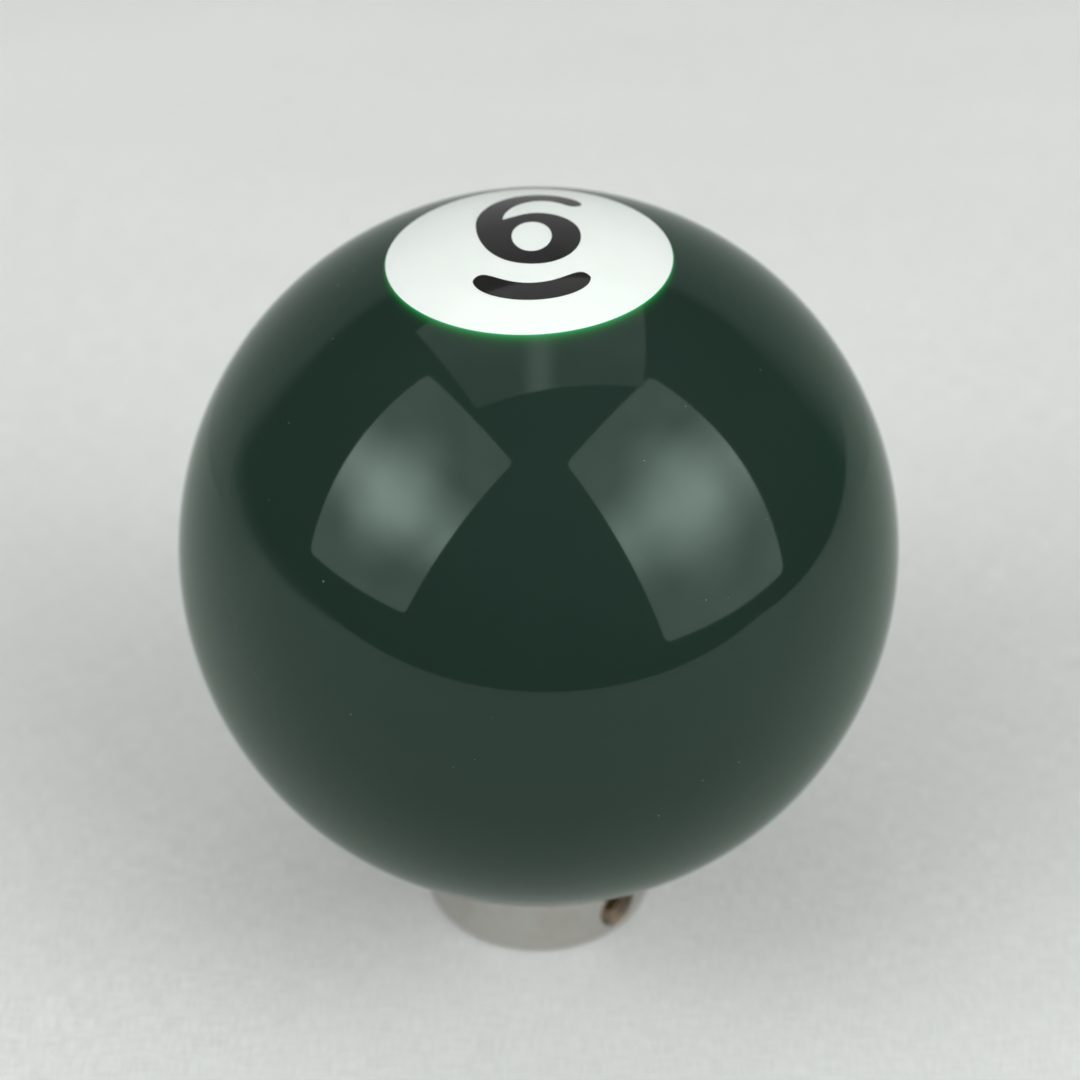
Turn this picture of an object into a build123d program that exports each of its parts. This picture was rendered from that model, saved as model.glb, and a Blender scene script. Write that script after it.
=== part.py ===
"""Numbered pool ball made into a lever knob.

A phenolic ball with inlaid number spots is drilled and glued onto a knurled brass insert.
A collar screws onto the insert's nose, and two set screws in the collar lock the lever.

Millimetres. +Z runs up the bore axis, from the collar's foot (z = 0) to the number spot.
The numeral reads upright from the -Y side.
"""

import os

from build123d import *

# ---- Driving dimensions -----------------------------------------------------------------

INCH = 25.4

# Ball: a regulation 2 1/4 in pool ball, held clear of the foot of its collar.
ball_radius = 2.25 * INCH / 2
ball_standoff = 6.925
ball_centre_height = ball_radius + ball_standoff

# Number spots: white plugs cast flush with the ball, diametrically opposite each other.
spot_radius = 10.72
spot_floor = 22.5  # a plug's flat inner face, measured out from the ball's centre
spot_tilt = 1.54  # degrees: the top spot leans towards -X, off the bore axis

# Ink: black resin filling pockets in the top spot, drawn in the spot's own plane.
ink_floor = 26.0  # pocket floor, measured out from the ball's centre

# Figure 6: the extreme points of its curves, and how far each curve is pulled past them.
six_foot = Vector(0.4, -3.84)
six_back = Vector(-3.95, 2.4)
six_top = Vector(0.7, 8.1)
hook_outer = Vector(4.0, 6.0)
hook_round = Vector(3.62, 5.38)
hook_inner = Vector(2.9, 5.45)
hook_crown = Vector(0.95, 6.32)
notch = Vector(-1.93, 2.65)
bowl_top = Vector(0.6, 3.68)
bowl_right = Vector(3.9, 0.05)
counter_centre = Vector(0.25, -0.13)
counter_width, counter_height = 2.97, 4.28

# Underline: a sagging bar that tells a 6 from a 9.
bar_top = Vector(0, -5.93)
bar_crest = Vector(3.67, -4.62)
bar_nose = Vector(4.3, -5.16)
bar_bottom = Vector(0, -7.65)
bar_shift = 0.13
bar_turn = 1.3  # degrees

# Collar: 3/4 in round bar, counterbored for the insert's nose.
collar_radius = 0.75 * INCH / 2
collar_height = 11.0
collar_edge = 0.35
collar_seat_gap = 0.075
lever_bore_radius = 4.95  # a 3/8 in lever and its clearance
lever_bore_edge = 0.6
nose_radius = 0.5 * INCH / 2
nose_length = 3.5

# Insert: knurled brass bush, tapped 3/8-16 for the end of the lever.
insert_radius = 0.625 * INCH / 2
insert_length = 20.0
insert_tapping_radius = 0.3125 * INCH / 2
insert_edge = 0.6
knurl_teeth = 40
knurl_depth = 0.4
knurl_angle = 90.0
waist_width = 2.4
waist_depth = 0.6
drill_overrun = 2.0
drill_point_angle = 118.0

# Set screws: two no. 8-32 x 1/8 in cup points, a quarter turn apart.
screw_names = ("front", "rear")
first_screw_turn = -44.0  # degrees from +X towards +Y
screw_spacing = 90.0
screw_height = 2.75
screw_radius = 2.03
screw_hole_radius = 0.164 * INCH / 2
screw_length = INCH / 8
screw_recess = 0.8
screw_edge = 0.25
socket_across_flats = INCH * 5 / 64
socket_depth = 1.4
cup_radius = 1.0
cup_depth = 0.5

# ---- Frames -----------------------------------------------------------------------------

centre_frame = Plane.XY.offset(ball_centre_height)
top_spot = centre_frame.rotated((0, -spot_tilt, 0))
bottom_spot = Plane(top_spot.origin, x_dir=top_spot.x_dir, z_dir=-top_spot.z_dir)
seat_height = collar_height
nose_height = collar_height - nose_length
insert_top = seat_height + insert_length
clear_of_ball = 2 * ball_radius
land_turn = first_screw_turn + screw_spacing / 2 + 180  # the solid land opposite both screws
collar_foot = Plane.XY.rotated((0, 0, land_turn))


def screw_frame(index):
    """A plane on the collar's surface at one screw, facing out along it."""
    turn = first_screw_turn + index * screw_spacing
    outward = Vector(1, 0, 0).rotate(Axis.Z, turn)
    foot = outward * collar_radius + Vector(0, 0, screw_height)
    return Plane(foot, x_dir=(0, 0, 1), z_dir=outward)


# ---- Numeral outlines, drawn into the sketch that is open --------------------------------


def draw_curve(start, start_pull, end, end_pull):
    """A smooth curve that leaves start along one pull and arrives at end along the other."""
    Bezier(start, start + Vector(*start_pull), end - Vector(*end_pull), end)


def draw_six():
    with BuildLine() as outline:
        draw_curve(six_foot, (-3.1, 0), six_back, (0, 3.1))
        draw_curve(six_back, (0, 2.6), six_top, (2.8, 0))
        draw_curve(six_top, (1.9, 0), hook_outer, (0, -0.8))
        ThreePointArc(hook_outer, hook_round, hook_inner)
        draw_curve(hook_inner, (-0.6, 0.4), hook_crown, (-1.0, 0))
        draw_curve(hook_crown, (-1.5, 0), notch, (0, -1.75))
        draw_curve(notch, (0.75, 0.3), bowl_top, (0.85, 0))
        draw_curve(bowl_top, (1.5, 0), bowl_right, (0, -2.4))
        draw_curve(bowl_right, (0, -2.1), six_foot, (-2.05, 0))
    make_face(outline.edges())
    with Locations(counter_centre):
        Ellipse(counter_width / 2, counter_height / 2, mode=Mode.SUBTRACT)


def draw_underline():
    with BuildSketch(mode=Mode.PRIVATE) as bar:
        with BuildLine() as outline:
            draw_curve(bar_top, (1.98, 0), bar_crest, (0.74, 0))
            draw_curve(bar_crest, (0.33, 0), bar_nose, (0, -0.2))
            draw_curve(bar_nose, (0, -1.21), bar_bottom, (-2.35, 0))
            mirror(about=Plane.YZ)
        make_face(outline.edges())
    with Locations(Location((bar_shift, 0), bar_turn)):
        add(bar.sketch)


# ---- Ball and its number spots -----------------------------------------------------------


def cut_to_ball():
    with Locations(centre_frame):
        Sphere(ball_radius, mode=Mode.INTERSECT)


def bore_from_below(radius, top):
    """A round hole up the bore axis, from under the part to a height."""
    with BuildSketch(Plane.XY) as mouth:
        Circle(radius)
    extrude(mouth.sketch, amount=top, mode=Mode.SUBTRACT)


with BuildPart() as ball_body:
    with Locations(centre_frame):
        Sphere(ball_radius)
    for spot in (top_spot, bottom_spot):
        with BuildSketch(spot.offset(spot_floor)):
            Circle(spot_radius)
        extrude(amount=clear_of_ball, mode=Mode.SUBTRACT)
    bore_from_below(collar_radius + collar_seat_gap, seat_height)
    bore_from_below(insert_radius, insert_top + drill_overrun)
    with BuildSketch(Plane.XZ):
        with Locations((0, insert_top + drill_overrun)):
            Triangle(c=2 * insert_radius, A=90 - drill_point_angle / 2,
                     B=90 - drill_point_angle / 2, align=(Align.CENTER, Align.MIN))
        with Locations((-insert_radius, insert_top + drill_overrun)):
            Rectangle(2 * insert_radius, insert_radius, align=(Align.CENTER, Align.MIN),
                      mode=Mode.SUBTRACT)
    revolve(axis=Axis.Z, mode=Mode.SUBTRACT)
ball_body.part.label = "ball_body"

with BuildPart() as number_disc:
    with BuildSketch(top_spot.offset(spot_floor)):
        Circle(spot_radius)
    extrude(amount=clear_of_ball)
    cut_to_ball()
    with BuildSketch(top_spot.offset(ink_floor)):
        draw_six()
        draw_underline()
    extrude(amount=clear_of_ball, mode=Mode.SUBTRACT)
number_disc.part.label = "number_disc"

with BuildPart() as numeral_six:
    with BuildSketch(top_spot.offset(ink_floor)):
        draw_six()
    extrude(amount=clear_of_ball)
    cut_to_ball()
numeral_six.part.label = "numeral_six"

with BuildPart() as underline_bar:
    with BuildSketch(top_spot.offset(ink_floor)):
        draw_underline()
    extrude(amount=clear_of_ball)
    cut_to_ball()
underline_bar.part.label = "underline_bar"

with BuildPart() as lower_number_disc:
    with BuildSketch(bottom_spot.offset(spot_floor)):
        Circle(spot_radius)
    extrude(amount=clear_of_ball)
    cut_to_ball()
    bore_from_below(collar_radius + collar_seat_gap, seat_height)
    bore_from_below(insert_radius, insert_top)
lower_number_disc.part.label = "lower_number_disc"

# ---- Threaded insert ---------------------------------------------------------------------

with BuildPart() as threaded_insert:
    with BuildSketch(Plane.XY.offset(nose_height)):
        Circle(nose_radius)
    extrude(amount=nose_length)
    with BuildSketch(Plane.XY.offset(seat_height)):
        Circle(insert_radius)
    extrude(amount=insert_length)
    chamfer(threaded_insert.edges().group_by(Axis.Z)[-1], insert_edge)
    with BuildSketch(Plane.XY.offset(seat_height)):
        with PolarLocations(insert_radius - knurl_depth, knurl_teeth):
            Triangle(c=2 * knurl_depth, A=(180 - knurl_angle) / 2, B=(180 - knurl_angle) / 2,
                     rotation=90, align=(Align.CENTER, Align.MIN))
    extrude(amount=insert_length, mode=Mode.SUBTRACT)
    with BuildSketch(Plane.XY.offset(seat_height + (insert_length - waist_width) / 2)):
        Circle(insert_radius)
        Circle(insert_radius - waist_depth, mode=Mode.SUBTRACT)
    extrude(amount=waist_width, mode=Mode.SUBTRACT)
    with BuildSketch(Plane.XY.offset(nose_height)):
        Circle(insert_tapping_radius)
    extrude(amount=nose_length + insert_length, mode=Mode.SUBTRACT)
    chamfer(
        threaded_insert.edges().filter_by(GeomType.CIRCLE).group_by(SortBy.RADIUS)[0],
        insert_edge,
    )
threaded_insert.part.label = "threaded_insert"

# ---- Collar ------------------------------------------------------------------------------

with BuildPart() as collar:
    with BuildSketch(collar_foot):
        Circle(collar_radius)
    extrude(amount=collar_height)
    chamfer(collar.edges().filter_by(GeomType.CIRCLE), collar_edge)
    with BuildSketch(collar_foot):
        Circle(lever_bore_radius)
    extrude(amount=collar_height, mode=Mode.SUBTRACT)
    foot_edges = collar.edges().filter_by(GeomType.CIRCLE).group_by(Axis.Z)[0]
    chamfer(foot_edges.sort_by(SortBy.RADIUS)[0], lever_bore_edge)
    with BuildSketch(collar_foot.offset(nose_height)):
        Circle(nose_radius)
    extrude(amount=nose_length, mode=Mode.SUBTRACT)
    for index in range(len(screw_names)):
        with BuildSketch(screw_frame(index)):
            Circle(screw_hole_radius)
        extrude(amount=-collar_radius, mode=Mode.SUBTRACT)
collar.part.label = "collar"


# ---- Set screws --------------------------------------------------------------------------


def make_set_screw(index):
    """One set screw, at rest in its hole, clear of the lever bore."""
    outer_end = screw_frame(index).offset(-screw_recess)
    with BuildPart() as screw:
        with BuildSketch(outer_end):
            Circle(screw_radius)
        extrude(amount=-screw_length)
        chamfer(screw.edges().filter_by(GeomType.CIRCLE), screw_edge)
        with BuildSketch(outer_end):
            RegularPolygon(socket_across_flats / 2, 6, major_radius=False)
        extrude(amount=-socket_depth, mode=Mode.SUBTRACT)
        with Locations(outer_end.offset(cup_depth / 2 - screw_length)):
            Cone(cup_radius, 0.0, cup_depth, mode=Mode.SUBTRACT)
    screw.part.label = f"set_screw_{screw_names[index]}"
    return screw.part


set_screws = [make_set_screw(index) for index in range(len(screw_names))]

# ---- Export ------------------------------------------------------------------------------

os.makedirs("parts", exist_ok=True)
pieces = [
    ball_body.part,
    number_disc.part,
    numeral_six.part,
    underline_bar.part,
    lower_number_disc.part,
    threaded_insert.part,
    collar.part,
    *set_screws,
]
for piece in pieces:
    export_step(piece, f"parts/{piece.label}.step")
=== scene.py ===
"""Looks for the pool ball lever knob: polished resin, inlaid numeral, plated collar, brass screws.

Metres, in the CAD's own frame: +Z up the bore axis, the numeral reads upright from -Y.
"""

import math

import bmesh
import bpy
import numpy as np
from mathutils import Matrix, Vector


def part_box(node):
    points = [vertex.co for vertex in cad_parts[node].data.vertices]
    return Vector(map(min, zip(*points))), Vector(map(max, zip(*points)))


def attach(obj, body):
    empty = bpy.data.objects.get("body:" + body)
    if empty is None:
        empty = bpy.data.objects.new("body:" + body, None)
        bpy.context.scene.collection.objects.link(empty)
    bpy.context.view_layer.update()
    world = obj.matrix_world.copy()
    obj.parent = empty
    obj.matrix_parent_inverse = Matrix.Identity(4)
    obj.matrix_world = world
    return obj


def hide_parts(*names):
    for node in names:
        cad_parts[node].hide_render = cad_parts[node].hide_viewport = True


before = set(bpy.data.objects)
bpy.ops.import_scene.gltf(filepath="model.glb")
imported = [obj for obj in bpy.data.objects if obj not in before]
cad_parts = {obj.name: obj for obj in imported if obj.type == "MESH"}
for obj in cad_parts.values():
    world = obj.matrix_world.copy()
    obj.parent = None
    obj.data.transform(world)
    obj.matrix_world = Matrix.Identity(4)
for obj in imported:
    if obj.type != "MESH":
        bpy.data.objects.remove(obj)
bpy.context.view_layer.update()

MM = 0.001

# ---- Facts read off the CAD ----------------------------------------------------------------

SKIN = 0.12 * MM  # a vertex this near the sphere belongs to the polished surface
OUTER_SHARE = 0.98  # points beyond this share of the radius are outside the bores and pockets
FLATNESS = 0.02 * MM  # points this near the plug's lowest reach lie on its flat inner face


def vertices_of(node):
    return np.array([v.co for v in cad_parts[node].data.vertices], float)


def fit_ball():
    """Centre and radius of the ball, by least squares through its outer vertices."""
    low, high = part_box("ball_body")
    rough_radius = (high.x - low.x) / 2
    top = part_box("number_disc")[1].z
    points = vertices_of("ball_body")
    reach = np.linalg.norm(points - [0, 0, top - rough_radius], axis=1)
    outer = points[reach > OUTER_SHARE * rough_radius]
    unknowns = np.c_[2 * outer, np.ones(len(outer))]
    x, y, z, k = np.linalg.lstsq(unknowns, (outer**2).sum(1), rcond=None)[0]
    return Vector((x, y, z)), math.sqrt(k + x * x + y * y + z * z)


def fit_spot(centre):
    """The number spot's axis, square to its flat inner face, and its radius."""
    points = vertices_of("number_disc") - np.array(centre)
    reach = np.linalg.norm(points, axis=1)
    floor = points[reach < reach.min() + FLATNESS]
    middle = floor.mean(0)
    axis = Vector(np.linalg.svd(floor - middle)[2][2])
    if axis.z < 0:
        axis.negate()
    height = points @ np.array(axis)
    across = np.sqrt(np.maximum((points**2).sum(1) - height**2, 0))
    return axis, float(across.max())


BALL_CENTRE, BALL_RADIUS = fit_ball()
SPOT_AXIS, SPOT_RADIUS = fit_spot(BALL_CENTRE)
SPOT_ANGLE = math.asin(SPOT_RADIUS / BALL_RADIUS)
TO_SPOT = Vector((0, 0, 1)).rotation_difference(SPOT_AXIS)

# ---- Shader nodes ---------------------------------------------------------------------------


class Shader:
    """A node tree under construction, with short calls for the nodes it needs."""

    def __init__(self, name, tree=None):
        self.material = None
        if tree is None:
            self.material = bpy.data.materials.new(name)
            self.material.use_nodes = True
            tree = self.material.node_tree
        self.tree = tree
        self.tree.nodes.clear()

    def node(self, kind, inputs=None, **settings):
        made = self.tree.nodes.new("ShaderNode" + kind)
        for key, value in settings.items():
            setattr(made, key, value)
        for key, value in (inputs or {}).items():
            if isinstance(value, bpy.types.NodeSocket):
                self.tree.links.new(value, made.inputs[key])
            else:
                made.inputs[key].default_value = value
        return made

    def math(self, operation, *values):
        return self.node("Math", dict(enumerate(values)), operation=operation).outputs[0]

    def vector(self, operation, *values, scale=None):
        inputs = dict(enumerate(values))
        if scale is not None:
            inputs["Scale"] = scale
        made = self.node("VectorMath", inputs, operation=operation)
        is_number = operation in ("DOT_PRODUCT", "LENGTH")
        return made.outputs["Value" if is_number else "Vector"]

    def remap(self, value, low, high, to_low=0.0, to_high=1.0, smooth=False):
        kind = "SMOOTHSTEP" if smooth else "LINEAR"
        made = self.node("MapRange", {0: value, 1: low, 2: high, 3: to_low, 4: to_high},
                         interpolation_type=kind)
        return made.outputs[0]

    def blend(self, factor, first, second, how="MIX"):
        made = self.node("Mix", {0: factor, 6: first, 7: second}, data_type="RGBA",
                         blend_type=how)
        return made.outputs[2]

    def noise(self, where, scale, detail=2.0, roughness=0.5, stretch=None, turn=(0, 0, 0)):
        """Fractal noise, optionally drawn out along its own axes after a turn."""
        if stretch:
            inputs = {"Vector": where, "Rotation": turn, "Scale": stretch}
            where = self.node("Mapping", inputs).outputs[0]
        inputs = {"Vector": where, "Scale": scale, "Detail": detail, "Roughness": roughness}
        return self.node("TexNoise", inputs).outputs[0]

    def surface(self, shader):
        self.node("OutputMaterial", {"Surface": shader})
        return self.material


def object_point(shader):
    return shader.node("TexCoord").outputs["Object"]


# ---- The object's materials -----------------------------------------------------------------


def mottled(shader, scale, detail, dark, light, roughness=0.5):
    """Two near shades of one colour in soft clouds."""
    cloud = shader.noise(object_point(shader), scale, detail, roughness)
    return shader.blend(shader.remap(cloud, 0.3, 0.7), dark, light)


SCRATCH_STRETCH = (160, 6500, 6500)  # noise cells per metre, along a scratch and across it
SCRATCH_SPARSENESS = 0.93
SCRATCH_EDGE = 0.05  # a scratch is fully there this far above the threshold
PATCH_WEIGHT = 0.22  # how much the scratches gather in patches


def hairlines(shader, where, turn):
    """Fine short scratches: the rare peaks of noise drawn out into needles."""
    needles = shader.noise(where, 1.0, 0.0, 0.5, stretch=SCRATCH_STRETCH, turn=turn)
    patches = shader.noise(where, 70.0, 1.0)
    wanted = shader.math("ADD", needles, shader.math("MULTIPLY", patches, PATCH_WEIGHT))
    return shader.remap(wanted, SCRATCH_SPARSENESS, SCRATCH_SPARSENESS + SCRATCH_EDGE)


def dust(shader, where, cell, size, share):
    """Sparse specks. Only a share of the cells hold one, and its radius is size times cell."""
    inputs = {"Vector": where, "Scale": 1 / cell}
    cells = shader.node("TexVoronoi", inputs, feature="F1")
    near = shader.remap(cells.outputs["Distance"], size, 0.6 * size)
    chance = shader.node("SeparateColor", {0: cells.outputs["Color"]}).outputs[0]
    chosen = shader.math("GREATER_THAN", chance, 1 - share)
    return shader.math("MULTIPLY", near, chosen)


DUST_COLOUR = (0.42, 0.45, 0.42, 1)
POLISH_ROUGHNESS = (0.028, 0.048)
RESIN_IOR = 1.4  # for the strength of its reflections
GLOSS_TINT = (0.78, 1.0, 0.87, 1)


def polished_resin(shader, colour, wear, extra=None):
    """Glossy cast resin in any colour: hairlines, dust and faint polishing waves."""
    where = object_point(shader)
    scratches = shader.math(
        "MAXIMUM",
        hairlines(shader, where, turn=(0.4, 0.9, 0.3)),
        hairlines(shader, where, turn=(1.7, 0.2, 2.2)),
    )
    specks = shader.math(
        "MAXIMUM",
        dust(shader, where, cell=1.5 * MM, size=0.040, share=0.30),
        dust(shader, where, cell=5.0 * MM, size=0.020, share=0.35),
    )
    haze = shader.noise(where, 90.0, 3.0)
    roughness = shader.remap(haze, 0.3, 0.7, *POLISH_ROUGHNESS)
    roughness = shader.math("ADD", roughness, shader.math("MULTIPLY", scratches, 0.12 * wear))
    roughness = shader.math("ADD", roughness, shader.math("MULTIPLY", specks, 0.45))
    colour = shader.blend(shader.math("MULTIPLY", specks, 0.35 * wear), colour, DUST_COLOUR)
    waves = shader.noise(where, 140.0, 1.0)
    relief = shader.math("MULTIPLY_ADD", scratches, -0.2 * wear,
                         shader.math("MULTIPLY_ADD", specks, 0.5, waves))
    bump = shader.node("Bump", {"Strength": 0.1, "Distance": 0.004 * MM, "Height": relief})
    inputs = {"Base Color": colour, "Roughness": roughness, "Normal": bump.outputs[0],
              "IOR": RESIN_IOR}
    resin = shader.node("BsdfPrincipled", inputs | (extra or {}))
    return shader.surface(resin.outputs[0])


RESIN_BENDING = 1.5  # refractive index for the eye's ray inside the resin
RESIN_TINT_PER_MM = (14.0, 2.7, 6.0)  # how fast the resin swallows red, green and blue
STAINED_SKIN = 0.25 * MM  # the plug's wall has taken up this much of the tint already
GLOW_SHARE = 0.55
# painted sheen: green added to the ball's colour at grazing angles
PAINTED_RIM_SHEEN = (0.0, 0.030, 0.006, 1)


def plug_seen_through(shader):
    """Colour of the white plug's side wall as it shows through the resin beside it.

    The eye's ray is bent at the surface and followed to the plug's cylinder; the resin's
    tint deepens with the length of that path, so a bright line hugs the spot's near edge.
    """
    geometry = shader.node("NewGeometry")
    outward = shader.vector("SUBTRACT", geometry.outputs["Position"], tuple(BALL_CENTRE))
    eye = shader.vector("SCALE", geometry.outputs["Incoming"], scale=-1.0)
    ray = shader.vector("REFRACT", eye, geometry.outputs["Normal"],
                        scale=1 / RESIN_BENDING)

    def square_to_axis(v):
        along = shader.vector("DOT_PRODUCT", v, tuple(SPOT_AXIS))
        return shader.vector("SUBTRACT", v, shader.vector("SCALE", tuple(SPOT_AXIS), scale=along))

    p, t = square_to_axis(outward), square_to_axis(ray)
    a = shader.vector("DOT_PRODUCT", t, t)
    b = shader.vector("DOT_PRODUCT", p, t)
    c = shader.math("SUBTRACT", shader.vector("DOT_PRODUCT", p, p), SPOT_RADIUS**2)
    under_root = shader.math("SUBTRACT", shader.math("MULTIPLY", b, b),
                             shader.math("MULTIPLY", a, c))
    root = shader.math("SQRT", shader.math("MAXIMUM", under_root, 0.0))
    reach = shader.math("SUBTRACT", shader.math("MULTIPLY", b, -1.0), root)
    path = shader.math("MAXIMUM", shader.math("DIVIDE", reach, a), 0.0)
    path = shader.math("ADD", path, STAINED_SKIN)
    meets = shader.math("MULTIPLY", shader.math("GREATER_THAN", under_root, 0.0),
                        shader.math("LESS_THAN", b, 0.0))
    channels = []
    for tint in RESIN_TINT_PER_MM:
        through = shader.math("EXPONENT", shader.math("MULTIPLY", path, -tint / MM))
        channels.append(shader.math("MULTIPLY", through, meets))
    return shader.node("CombineColor", dict(enumerate(channels))).outputs[0]


def green_resin():
    """The ball's resin. Towards the rim it mirrors less, and a painted green sheen is added to its
    colour there.
    """
    shader = Shader("green_resin")
    body = mottled(shader, 60.0, 4.0, dark=(0.0115, 0.0250, 0.0190, 1),
                   light=(0.0135, 0.0280, 0.0214, 1), roughness=0.6)
    glow = shader.blend(1.0, plug_seen_through(shader), (*[GLOW_SHARE] * 3, 1), "MULTIPLY")
    body = shader.blend(1.0, body, glow, "ADD")
    facing = shader.node("LayerWeight", {"Blend": 0.5}).outputs["Facing"]
    # Painted sheen: the more the surface turns from the eye, the more green is added to its
    # colour.
    rim = shader.math("POWER", shader.remap(facing, 0.3, 0.9), 2.0)
    body = shader.blend(rim, body, PAINTED_RIM_SHEEN, "ADD")
    mirror = {"Specular Tint": GLOSS_TINT,
              "Specular IOR Level": shader.remap(facing, 0.3, 0.8, 0.5, 0.17)}
    return polished_resin(shader, body, wear=1.0, extra=mirror)


def white_resin():
    """The plugs' resin, a little translucent."""
    shader = Shader("white_resin")
    body = mottled(shader, 220.0, 3.0, dark=(0.760, 0.795, 0.765, 1),
                   light=(0.790, 0.820, 0.790, 1))
    depth = {"Specular Tint": GLOSS_TINT, "Subsurface Weight": 0.15, "Subsurface Scale": 1.0,
             "Subsurface Radius": (0.6 * MM, 0.7 * MM, 0.6 * MM)}
    return polished_resin(shader, body, wear=0.4, extra=depth)


def black_resin():
    """The resin of the numeral and its underline."""
    shader = Shader("black_resin")
    body = mottled(shader, 300.0, 3.0, dark=(0.014, 0.0135, 0.0135, 1),
                   light=(0.021, 0.0205, 0.020, 1))
    return polished_resin(shader, body, wear=0.4)


def turned_metal(name, light, dark, stain, roughness_range, groove_pitch):
    """Lathe-turned metal: fine grooves round the bore axis, soft stains and faint streaks.

    Roughness under about 0.28 makes the denoiser draw false marks where it crosses that value.
    """
    edge_radius = 0.06 * MM
    shader = Shader(name)
    where = object_point(shader)
    height = shader.node("SeparateXYZ", {0: where}).outputs[2]
    grooves = shader.node("TexNoise", {"W": height, "Scale": 1 / groove_pitch, "Detail": 2.0},
                          noise_dimensions="1D").outputs[0]
    stains = shader.noise(where, 260.0, 4.0, 0.6)
    streaks = shader.remap(shader.noise(where, 1.0, 2.0, stretch=(260, 260, 9000)), 0.55, 0.75)
    colour = shader.blend(shader.remap(grooves, 0.3, 0.7), light, dark)
    colour = shader.blend(shader.remap(stains, 0.5, 0.8), colour, stain)
    colour = shader.blend(shader.math("MULTIPLY", streaks, 0.35), colour, dark)
    low, high = roughness_range
    roughness = shader.remap(stains, 0.3, 0.7, low, high)
    roughness = shader.math("ADD", roughness, shader.math("MULTIPLY", streaks, 0.1))
    relief = shader.math("MULTIPLY_ADD", streaks, -0.4, grooves)
    rounded = shader.node("Bevel", {"Radius": edge_radius}, samples=4).outputs[0]
    inputs = {"Strength": 0.25, "Distance": 0.003 * MM, "Height": relief, "Normal": rounded}
    bump = shader.node("Bump", inputs).outputs[0]
    inputs = {"Base Color": colour, "Metallic": 0.85, "Roughness": roughness, "Normal": bump,
              "Anisotropic": 0.4}
    return shader.surface(shader.node("BsdfPrincipled", inputs).outputs[0])


# ---- Meshes ----------------------------------------------------------------------------------


def joined_copy(node):
    """A fresh bmesh of a CAD node, with the vertices its sharp edges split joined again."""
    mesh = bmesh.new()
    mesh.from_mesh(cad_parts[node].data)
    bmesh.ops.remove_doubles(mesh, verts=mesh.verts, dist=0.001 * MM)
    return mesh


def on_ball(vertex):
    return (vertex.co - BALL_CENTRE).length > BALL_RADIUS - SKIN


def snap(vertex):
    """Puts a vertex of the polished surface exactly on the ball, and on the spot's rim."""
    arm = (vertex.co - BALL_CENTRE).normalized()
    along = arm.dot(SPOT_AXIS)
    side = math.copysign(1, along)
    if abs(math.acos(min(1, abs(along))) - SPOT_ANGLE) < SKIN / BALL_RADIUS:
        outward = (arm - along * SPOT_AXIS).normalized()
        arm = side * math.cos(SPOT_ANGLE) * SPOT_AXIS + math.sin(SPOT_ANGLE) * outward
    vertex.co = BALL_CENTRE + BALL_RADIUS * arm


def refine_polished_faces(mesh, longest):
    """Splits the polished faces until no edge is longer than this, and rounds them."""
    while True:
        polished = [f for f in mesh.faces if all(on_ball(v) for v in f.verts)]
        edges = {e for f in polished for e in f.edges if e.calc_length() > longest}
        if not edges:
            break
        bmesh.ops.subdivide_edges(mesh, edges=list(edges), cuts=1)
        bmesh.ops.triangulate(mesh, faces=[f for f in mesh.faces if len(f.verts) > 3])
        for vertex in mesh.verts:
            if on_ball(vertex):
                snap(vertex)


def add_band(mesh, around, along):
    """The green part of the sphere as an even grid, from one number spot to the other."""
    rings = []
    for row in range(along + 1):
        polar = SPOT_ANGLE + (math.pi - 2 * SPOT_ANGLE) * row / along
        ring = []
        for column in range(around):
            turn = 2 * math.pi * column / around
            arm = Vector((math.sin(polar) * math.cos(turn), math.sin(polar) * math.sin(turn),
                          math.cos(polar)))
            ring.append(mesh.verts.new(BALL_CENTRE + BALL_RADIUS * (TO_SPOT @ arm)))
        rings.append(ring)
    for upper, lower in zip(rings, rings[1:]):
        for column in range(around):
            after = (column + 1) % around
            mesh.faces.new((upper[column], lower[column], lower[after], upper[after]))


def place_piece(mesh, name, node, material):
    """Turns a bmesh into a shown piece that stands for a CAD node, shaded as a true sphere."""
    data = bpy.data.meshes.new(name)
    mesh.to_mesh(data)
    mesh.free()
    normals = []
    for polygon in data.polygons:
        corners = [data.vertices[i].co - BALL_CENTRE for i in polygon.vertices]
        polished = all(corner.length > BALL_RADIUS - SKIN for corner in corners)
        normals += [c.normalized() if polished else polygon.normal for c in corners]
    data.polygons.foreach_set("use_smooth", [True] * len(data.polygons))
    data.normals_split_custom_set([tuple(n) for n in normals])
    data.materials.append(material)
    piece = bpy.data.objects.new(name, data)
    bpy.context.scene.collection.objects.link(piece)
    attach(piece, "knob")
    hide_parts(node)


def dress(node, material):
    """Shows a CAD node as it is, in a material."""
    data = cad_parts[node].data
    data.materials.clear()
    data.materials.append(material)


green, white, black = green_resin(), white_resin(), black_resin()

ball = joined_copy("ball_body")
polished_faces = [f for f in ball.faces if all(on_ball(v) for v in f.verts)]
bmesh.ops.delete(ball, geom=polished_faces, context="FACES")
add_band(ball, around=288, along=192)
place_piece(ball, "ball", "ball_body", green)

for node, material, slot, longest in (
    ("number_disc", white, "white_resin", 0.45 * MM),
    ("numeral_six", black, "black_resin", 0.3 * MM),
    ("underline_bar", black, "black_resin", 0.3 * MM),
    ("lower_number_disc", white, "white_resin", 0.45 * MM),
):
    inlay = joined_copy(node)
    refine_polished_faces(inlay, longest)
    place_piece(inlay, node + "_inlay", node, material)

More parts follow.
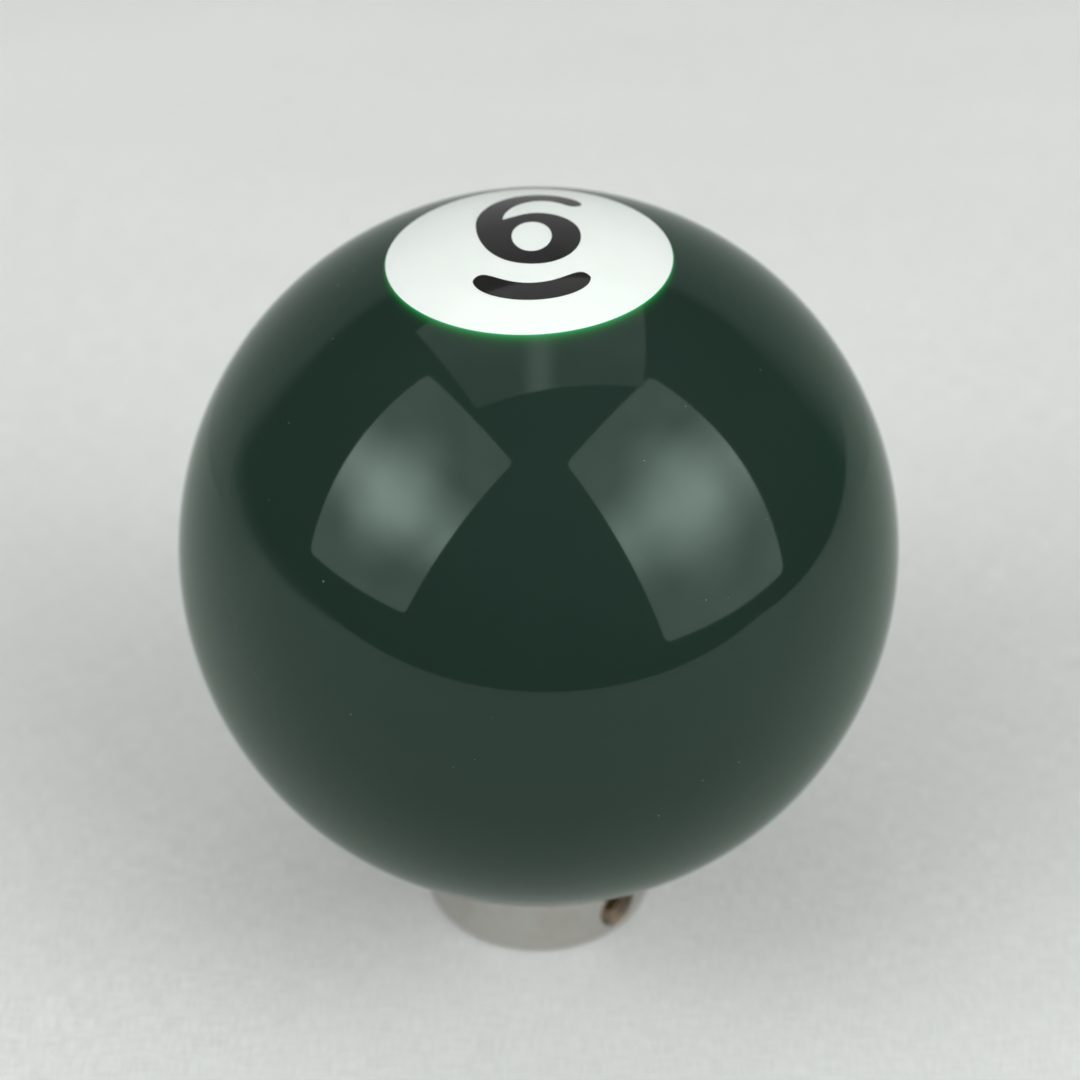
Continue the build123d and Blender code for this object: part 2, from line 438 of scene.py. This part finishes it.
nickel = turned_metal("collar_metal", light=(0.67, 0.65, 0.62, 1), dark=(0.60, 0.58, 0.55, 1),
                      stain=(0.52, 0.49, 0.44, 1), roughness_range=(0.29, 0.38),
                      groove_pitch=0.12 * MM)
brass = turned_metal("insert_brass", light=(0.78, 0.58, 0.30, 1), dark=(0.70, 0.50, 0.25, 1),
                     stain=(0.42, 0.29, 0.15, 1), roughness_range=(0.29, 0.42),
                     groove_pitch=0.15 * MM)
# The set screws' brass, much darker than the insert's.
dark_screw_brass = turned_metal("screw_brass", light=(0.36, 0.27, 0.18, 1), dark=(0.28, 0.21, 0.14, 1),
                         stain=(0.14, 0.11, 0.08, 1), roughness_range=(0.36, 0.52),
                         groove_pitch=0.10 * MM)
dress("collar", nickel)
dress("threaded_insert", brass)
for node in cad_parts:
    if node.startswith("set_screw_"):
        dress(node, dark_screw_brass)

# ---- Studio -----------------------------------------------------------------------------------

CLOTH_SIDE = 0.215  # the cloth's half width, as the ball reflects it
CLOTH_FRONT = -0.2
CLOTH_BACK = 0.118  # where the cloth turns up behind the ball
BACKDROP_LEFT, BACKDROP_RIGHT = -0.295, 0.26
BACKDROP_FADE = 0.13  # its sides thin out over this width
TABLE_RIGHT = 0.48
TABLE_FRONT = -0.295  # at x = 0; the edge slants by TABLE_SLANT
TABLE_SLANT = 0.17
FLOOR_REACH = 6.0
THREAD_PITCH = 0.52 * MM
SOFTBOX_REACH = 0.8
SOFTBOX_ROUNDING = 0.04  # of its side, as are the next two
LAMP_SPREAD = 0.42
BAND_SPREAD = 0.26
PANEL_HEIGHT = 0.8
PANEL_CORNERS = ((-0.24, -0.143), (0.41, 0.008), (0.39, 0.68), (-0.48, 0.372))
SEAM_X = 0.004  # the bright seam in the overhead panel
SEAM_HALF_WIDTH = 0.08
SEAM_STRENGTH = 1.15
FILL_STRENGTH = 0.338
SOFT_WHITE = (0.98, 1.0, 0.99, 1)
FILL_WHITE = (0.97, 1.0, 0.98, 1)
DARK_ROOM = (0.02, 0.02, 0.02, 1)
HAZE = (0.675, 0.692, 0.678, 1)
HAZE_FROM, HAZE_FULL = 0.24, 0.75  # the camera loses the cloth in haze between these reaches


def quad(name, corners, material):
    data = bpy.data.meshes.new(name)
    data.from_pydata([tuple(c) for c in corners], [], [(0, 1, 2, 3)])
    uv = data.uv_layers.new(name="uv")
    for loop, at in zip(uv.data, ((0, 0), (1, 0), (1, 1), (0, 1))):
        loop.uv = at
    data.materials.append(material)
    made = bpy.data.objects.new(name, data)
    bpy.context.scene.collection.objects.link(made)
    return made


CLOTH_DARK = (0.59, 0.597, 0.585, 1)
CLOTH_LIGHT = (0.785, 0.795, 0.777, 1)
CLOUD_GREY = (0.74, 0.745, 0.735, 1)
# painted shade in the cloth's creases
PAINTED_CREASE_SHADE = (0.66, 0.67, 0.66, 1)
WARP_CELLS = (4800, 420, 1)  # noise cells per metre across and along its threads
WEFT_CELLS = (360, 4800, 1)
KNOT_WEIGHT = 0.20


def woven_cloth(shader, where, x, y):
    """The cloth as a matt surface: threads, knots where they cross, clouds and creases, with
    painted shade in the creases and in front of the ball and painted light behind it.
    """
    warp = shader.noise(where, 1.0, 2.0, 0.6, stretch=WARP_CELLS)
    weft = shader.noise(where, 1.0, 2.0, 0.6, stretch=WEFT_CELLS)
    over = shader.math("SINE", shader.math("MULTIPLY", x, 2 * math.pi / THREAD_PITCH))
    under = shader.math("SINE", shader.math("MULTIPLY", y, 2 * math.pi / THREAD_PITCH))
    knots = shader.math("MULTIPLY", over, under)
    weave = shader.math("MULTIPLY_ADD", knots, KNOT_WEIGHT, shader.math("ADD", warp, weft))
    cloud = shader.noise(where, 16.0, 2.0)
    creases = shader.noise(where, 1.0, 3.0, stretch=(24, 60, 1), turn=(0, 0, 0.5))
    colour = shader.blend(shader.remap(weave, 0.75, 1.25), CLOTH_DARK, CLOTH_LIGHT)
    colour = shader.blend(shader.remap(cloud, 0.3, 0.7, 0.0, 0.35), colour, CLOUD_GREY)
    # Painted shade: the cloth is darker along its creases.
    colour = shader.blend(shader.remap(creases, 0.35, 0.65, 0.0, 0.3), colour, PAINTED_CREASE_SHADE)
    # Painted light and shade: the cloth is a little lighter behind the ball and darker from just
    # in front of it towards the front.
    painted_light_and_shade = shader.math("SUBTRACT", shader.remap(y, 0.05, 0.17, 1.0, 1.05),
                       shader.remap(y, 0.01, -0.07, 0.0, 0.12, smooth=True))
    colour = shader.vector("SCALE", colour, scale=painted_light_and_shade)
    relief = shader.math("MULTIPLY_ADD", creases, 8.0, weave)
    bump = shader.node("Bump", {"Strength": 0.5, "Distance": 0.08 * MM, "Height": relief})
    inputs = {"Base Color": colour, "Roughness": 0.95, "Normal": bump.outputs[0],
              "Specular IOR Level": 0.1}
    return shader.node("BsdfPrincipled", inputs).outputs[0]


def mirrored_level(shader, where, x, y):
    """How brightly mirror reflections see the floor: dimmer off the cloth, with painted shade
    towards the back and by the ball.
    """
    off_cloth = shader.math(
        "MAXIMUM",
        shader.math("GREATER_THAN", shader.math("ABSOLUTE", x), CLOTH_SIDE),
        shader.math("LESS_THAN", y, CLOTH_FRONT),
    )
    reach = shader.vector("LENGTH", where)
    beyond = shader.remap(reach, 0.2, 1.0, 0.95, 0.70)
    level = shader.math("ADD", shader.math("MULTIPLY", off_cloth, beyond),
                        shader.math("SUBTRACT", 1.0, off_cloth))
    # Painted shade in reflections: darker towards the back of the cloth and next to the ball.
    level = shader.math("MULTIPLY", level, shader.remap(y, 0.0, CLOTH_BACK, 1.0, 0.76))
    return shader.math("MULTIPLY", level, shader.remap(reach, 0.02, 0.08, 0.78, 1.0))


def past_table(shader, x, y):
    """1 beyond the right-hand edge or the slanting front edge of the table, 0 on it."""
    front = shader.math("MULTIPLY_ADD", x, TABLE_SLANT, TABLE_FRONT)
    return shader.math("MAXIMUM", shader.math("GREATER_THAN", x, TABLE_RIGHT),
                       shader.math("LESS_THAN", y, front))


def floor_material():
    """Pale cloth that fades into haze, and ends at the table's edges in mirror reflections."""
    shader = Shader("pale_cloth")
    where = object_point(shader)
    x, y, _ = shader.node("SeparateXYZ", {0: where}).outputs
    rays = shader.node("LightPath").outputs
    level = mirrored_level(shader, where, x, y)
    dim = shader.math("MULTIPLY", shader.math("SUBTRACT", 1.0, level), rays["Is Glossy Ray"])
    unlit = shader.node("Emission", {"Strength": 0.0}).outputs[0]
    cloth = woven_cloth(shader, where, x, y)
    cloth = shader.node("MixShader", {0: dim, 1: cloth, 2: unlit}).outputs[0]
    far = shader.remap(shader.vector("LENGTH", where), HAZE_FROM, HAZE_FULL, smooth=True)
    far = shader.math("MULTIPLY", far, rays["Is Camera Ray"])
    haze = shader.node("Emission", {"Color": HAZE}).outputs[0]
    cloth = shader.node("MixShader", {0: far, 1: cloth, 2: haze}).outputs[0]
    gone = shader.math("MULTIPLY", past_table(shader, x, y), rays["Is Glossy Ray"])
    clear = shader.node("BsdfTransparent").outputs[0]
    return shader.surface(shader.node("MixShader", {0: gone, 1: cloth, 2: clear}).outputs[0])


def softbox_material(name, dim, hot, hot_at):
    """A diffuser lit from behind: brightest at the lamp and along a band level with it."""
    shader = Shader(name)
    at = shader.node("TexCoord").outputs["UV"]
    off = shader.vector("SUBTRACT", at, (*hot_at, 0))
    _, rise, _ = shader.node("SeparateXYZ", {0: off}).outputs
    spot = shader.remap(shader.vector("LENGTH", off), LAMP_SPREAD, 0.0, smooth=True)
    band = shader.remap(shader.math("ABSOLUTE", rise), BAND_SPREAD, 0.0, smooth=True)
    folds = shader.noise(at, 1.0, 1.0, 0.5, stretch=(2.5, 5, 1), turn=(0, 0, 0.5))
    lit = shader.math("MULTIPLY_ADD", band, 0.50, shader.math("MULTIPLY", spot, 0.50))
    base = shader.remap(rise, -0.5, 0.5, 1.1 * dim, dim)
    strength = shader.math("MULTIPLY_ADD", lit, hot - dim, base)
    strength = shader.math("MULTIPLY", strength, shader.remap(folds, 0.3, 0.7, 0.90, 1.10))
    glow = shader.node("Emission", {"Color": SOFT_WHITE, "Strength": strength}).outputs[0]
    aside = shader.vector("ABSOLUTE", shader.vector("SUBTRACT", at, (0.5, 0.5, 0)))
    inner = 0.5 - SOFTBOX_ROUNDING
    past = shader.vector("MAXIMUM", shader.vector("SUBTRACT", aside, (inner, inner, 0)), (0, 0, 0))
    cut = shader.math("GREATER_THAN", shader.vector("LENGTH", past), SOFTBOX_ROUNDING)
    clear = shader.node("BsdfTransparent").outputs[0]
    return shader.surface(shader.node("MixShader", {0: cut, 1: glow, 2: clear}).outputs[0])


def overhead_material():
    """A dimmer sheet overhead, with one bright seam running away from the camera."""
    shader = Shader("overhead_cloth")
    where = object_point(shader)
    x, y, _ = shader.node("SeparateXYZ", {0: where}).outputs
    from_seam = shader.math("ABSOLUTE", shader.math("SUBTRACT", x, SEAM_X))
    seam = shader.remap(from_seam, SEAM_HALF_WIDTH, 0.0, smooth=True)
    seam = shader.math("MULTIPLY", seam, shader.remap(y, 0.35, 0.0, smooth=True))
    clouds = shader.noise(where, 7.0, 2.0)
    level = shader.math("ADD", shader.remap(clouds, 0.3, 0.7, 0.64, 0.80),
                        shader.remap(y, -0.15, 0.15, -0.25, 0.0))
    strength = shader.math("MULTIPLY_ADD", seam, SEAM_STRENGTH, level)
    sheet = shader.node("Emission", {"Color": SOFT_WHITE, "Strength": strength}).outputs[0]
    return shader.surface(sheet)


def softbox(name, azimuth, bottom, top, half_width, material):
    """A leaning diffuser. bottom and top are (distance, height), all sizes over SOFTBOX_REACH."""
    turn = math.radians(azimuth)
    away = Vector((math.sin(turn), -math.cos(turn), 0))
    sideways = Vector((math.cos(turn), math.sin(turn), 0)) * half_width * SOFTBOX_REACH
    low, high = (
        BALL_CENTRE + away * out * SOFTBOX_REACH + Vector((0, 0, up * SOFTBOX_REACH))
        for out, up in (bottom, top)
    )
    made = quad(name, (low - sideways, low + sideways, high + sideways, high - sideways),
                material)
    made.visible_camera = False


softbox("softbox_left", azimuth=-58, bottom=(1.0, 0.16), top=(0.342, 0.817), half_width=0.32,
        material=softbox_material("softbox_left_cloth", dim=1.45, hot=7.6, hot_at=(0.46, 0.50)))
softbox("softbox_right", azimuth=58, bottom=(1.0, 0.02), top=(0.428, 0.99), half_width=0.385,
        material=softbox_material("softbox_right_cloth", dim=1.5, hot=7.0, hot_at=(0.52, 0.50)))

panel = quad("overhead_panel", [(x, y, PANEL_HEIGHT) for x, y in PANEL_CORNERS],
             overhead_material())
panel.visible_camera = False

square = ((-1, -1), (1, -1), (1, 1), (-1, 1))
quad("floor", [(x * FLOOR_REACH, y * FLOOR_REACH, 0) for x, y in square], floor_material())


def backdrop_material():
    """The cloth behind the ball, seen only in reflections, darker with height."""
    shader = Shader("backdrop_cloth")
    x, _, height = shader.node("SeparateXYZ", {0: object_point(shader)}).outputs
    level = shader.remap(height, 0.02, 0.26, 0.54, 0.23)
    aside = shader.remap(shader.math("ABSOLUTE", x), 0.06, 0.16, 1.0, 0.88)
    level = shader.math("MULTIPLY", level, aside)
    cloth = shader.node("Emission", {"Color": SOFT_WHITE, "Strength": level}).outputs[0]
    left = shader.remap(x, BACKDROP_LEFT, BACKDROP_LEFT + BACKDROP_FADE, smooth=True)
    right = shader.remap(x, BACKDROP_RIGHT, BACKDROP_RIGHT - BACKDROP_FADE, smooth=True)
    rounded = shader.math("MULTIPLY_ADD", height, 0.9, shader.math("ABSOLUTE", x))
    top = shader.remap(rounded, 0.44, 0.30, smooth=True)
    solid = shader.math("MULTIPLY", shader.math("MULTIPLY", left, right), top)
    clear = shader.node("BsdfTransparent").outputs[0]
    return shader.surface(shader.node("MixShader", {0: solid, 1: clear, 2: cloth}).outputs[0])


def make_backdrop():
    """A sheet that rises behind the ball and leans back towards its top."""
    profile = ((-0.006, 0.0), (0.0, 0.012), (0.002, 0.10), (0.02, 0.15), (0.07, 0.215),
               (0.17, 0.36), (0.24, 0.48))  # distance behind the cloth's back edge, height
    points, faces = [], []
    for behind, z in profile:
        y = CLOTH_BACK + behind
        points += [(BACKDROP_LEFT, y, z), (BACKDROP_RIGHT, y, z)]
    for row in range(len(profile) - 1):
        faces.append((2 * row, 2 * row + 1, 2 * row + 3, 2 * row + 2))
    data = bpy.data.meshes.new("backdrop")
    data.from_pydata(points, [], faces)
    data.materials.append(backdrop_material())
    made = bpy.data.objects.new("backdrop", data)
    bpy.context.scene.collection.objects.link(made)
    made.visible_camera = made.visible_diffuse = made.visible_shadow = False
    made.visible_transmission = False


make_backdrop()


def make_world():
    """Pale to the camera, soft fill to matt surfaces, a dark room to mirror reflections."""
    world = bpy.data.worlds.new("studio")
    world.use_nodes = True
    bpy.context.scene.world = world
    shader = Shader("studio", world.node_tree)
    rays = shader.node("LightPath").outputs
    seen = shader.node("Background", {"Color": HAZE}).outputs[0]
    fill = shader.node("Background", {"Color": FILL_WHITE, "Strength": FILL_STRENGTH}).outputs[0]
    room = shader.node("Background", {"Color": DARK_ROOM}).outputs[0]
    lit = shader.node("MixShader", {0: rays["Is Glossy Ray"], 1: fill, 2: room}).outputs[0]
    lit = shader.node("MixShader", {0: rays["Is Camera Ray"], 1: lit, 2: seen}).outputs[0]
    shader.node("OutputWorld", {"Surface": lit})


make_world()

# ---- Camera -----------------------------------------------------------------------------------

CAMERA_DISTANCE = 8 * BALL_RADIUS
CAMERA_ELEVATION = math.radians(35.96)
LENS = 95.3
SENSOR = 36.0
SHIFT = (0.00126, 0.00606)  # of the picture's width
F_STOP = 28.0


def make_camera():
    data = bpy.data.cameras.new("camera")
    data.lens = LENS
    data.sensor_width = SENSOR
    data.shift_x, data.shift_y = SHIFT
    data.clip_start, data.clip_end = 0.01, 20.0
    camera = bpy.data.objects.new("camera", data)
    bpy.context.scene.collection.objects.link(camera)
    back = Vector((0, -math.cos(CAMERA_ELEVATION), math.sin(CAMERA_ELEVATION)))
    camera.location = BALL_CENTRE + back * CAMERA_DISTANCE
    camera.rotation_mode = "QUATERNION"
    camera.rotation_quaternion = (-back).to_track_quat("-Z", "Y")
    near_rim = bpy.data.objects.new("focus", None)
    near_rim.location = BALL_CENTRE + BALL_RADIUS * (
        math.cos(SPOT_ANGLE) * SPOT_AXIS + math.sin(SPOT_ANGLE) * Vector((0, -1, 0)))
    bpy.context.scene.collection.objects.link(near_rim)
    data.dof.use_dof = True
    data.dof.focus_object = near_rim
    data.dof.aperture_fstop = F_STOP
    bpy.context.scene.camera = camera


make_camera()
bpy.context.scene.view_settings.view_transform = "Standard"
bpy.context.scene.view_settings.look = "None"
